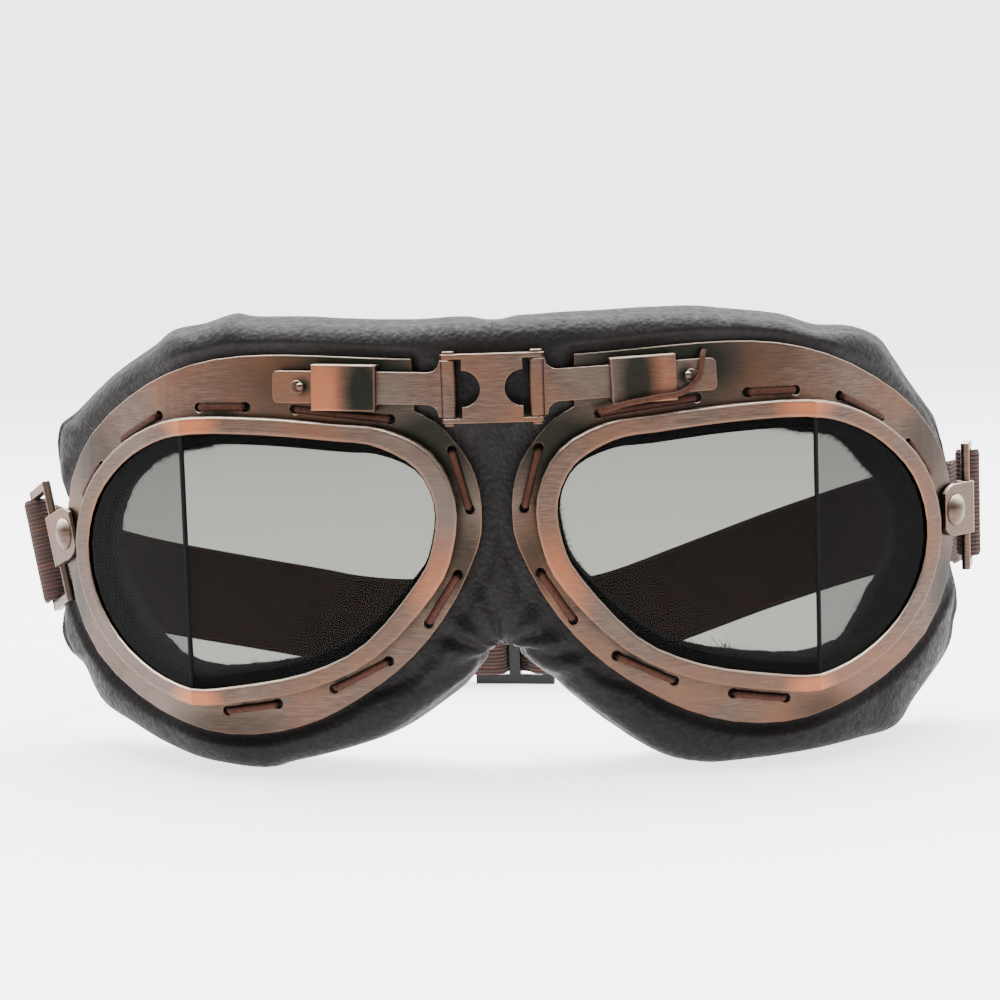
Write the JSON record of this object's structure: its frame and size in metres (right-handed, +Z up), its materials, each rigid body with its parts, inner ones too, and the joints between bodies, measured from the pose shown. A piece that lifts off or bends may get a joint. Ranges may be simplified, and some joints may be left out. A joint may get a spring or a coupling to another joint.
{
  "type": "motorcycle goggles",
  "caption": "Padded leather goggles with hinged metal eye frames, angled smoke panes, laced edges and an adjustable elastic head strap.",
  "frame": {"origin": "on the table, on the middle plane of the bridge, half way between the goggles' front and back", "axes": "+X to the right seen from the front, +Y from the front to the back, +Z up"},
  "size_m": [0.2292, 0.1257, 0.0999],
  "materials": {
    "copper": "brushed antique copper with dark patina",
    "leather": "pebbled, satin",
    "fleece": "fuzzy charcoal fleece",
    "rubber": "matt black",
    "lens": "clear smoke tint, gloss",
    "elastic": "ribbed brown elastic",
    "lace_cord": "round waxed cord",
    "black_plastic": "satin black"
  },
  "bodies": {
    "bridge": {"bridge_link": "copper", "hinge_pin_left": "copper", "hinge_pin_right": "copper", "nose_gusset": "leather", "strap_left": "elastic", "strap_right": "elastic"},
    "arm_left": {"arm_left": "copper"},
    "arm_right": {"arm_right": "copper"},
    "frame_left": {"flange_left": "copper", "sleeve_left": "copper", "bezel_left": "copper", "lens_front_left": "lens", "lens_side_left": "lens", "seam_strip_left": "rubber", "gasket_left": "rubber", "lace_left": "lace_cord", "mask_left": "leather", "lining_left": "fleece", "washer_left": "copper", "rivet_left": "copper"},
    "frame_right": {"flange_right": "copper", "sleeve_right": "copper", "bezel_right": "copper", "lens_front_right": "lens", "lens_side_right": "lens", "seam_strip_right": "rubber", "gasket_right": "rubber", "lace_right": "lace_cord", "mask_right": "leather", "lining_right": "fleece", "washer_right": "copper", "rivet_right": "copper", "lace_end": "lace_cord"},
    "bracket_left": {"bracket_left": "copper"},
    "bracket_right": {"bracket_right": "copper"},
    "ring_left": {"ring_left": "copper"},
    "ring_right": {"ring_right": "copper"},
    "slider": {"slider": "black_plastic"}
  },
  "joints": [
    {"name": "bridge_hinge_left", "type": "hinge", "parent": "bridge", "child": "arm_left", "pos_m": [-0.00935, -0.06012, 0.0851], "axis": [0, 0, -1], "range_deg": [-8, 12], "deforming": ["nose_gusset", "strap_left", "strap_right", "lace_end"]},
    {"name": "bridge_hinge_right", "type": "hinge", "parent": "bridge", "child": "arm_right", "pos_m": [0.00935, -0.06012, 0.0851], "axis": [0, 0, 1], "range_deg": [-8, 12], "deforming": ["nose_gusset", "strap_left", "strap_right", "lace_end"]},
    {"name": "width_slide_left", "type": "slide", "parent": "arm_left", "child": "frame_left", "axis": [-0.9897, 0.1391, 0.0349], "range_m": [-0.0025, 0.0018], "deforming": ["nose_gusset", "strap_left", "strap_right", "lace_end"]},
    {"name": "width_slide_right", "type": "slide", "parent": "arm_right", "child": "frame_right", "axis": [0.9897, 0.1391, 0.0349], "range_m": [-0.0025, 0.0018], "deforming": ["nose_gusset", "strap_left", "strap_right", "lace_end"]},
    {"name": "bracket_swivel_left", "type": "hinge", "parent": "frame_left", "child": "bracket_left", "pos_m": [-0.1027, -0.01771, 0.0515], "axis": [-0.766, -0.6428, 0], "range_deg": [-35, 3], "deforming": ["strap_left"]},
    {"name": "bracket_swivel_right", "type": "hinge", "parent": "frame_right", "child": "bracket_right", "pos_m": [0.1027, -0.01771, 0.0515], "axis": [-0.766, 0.6428, 0], "range_deg": [-15, 15], "deforming": ["strap_right"]},
    {"name": "ring_swing_left", "type": "hinge", "parent": "bracket_left", "child": "ring_left", "pos_m": [-0.10667, -0.01221, 0.04904], "axis": [-0.2198, 0.262, 0.9397], "range_deg": [-12, 20], "deforming": ["strap_left"]},
    {"name": "ring_swing_right", "type": "hinge", "parent": "bracket_right", "child": "ring_right", "pos_m": [0.10694, -0.01187, 0.0515], "axis": [0, 0, -1], "range_deg": [-4, 35], "deforming": ["strap_right"]},
    {"name": "slider_slide", "type": "slide", "parent": "bridge", "child": "slider", "axis": [-0.9877, 0.1564, 0], "range_m": [-0.012, 0.012], "deforming": ["strap_left", "strap_right"]}
  ]
}
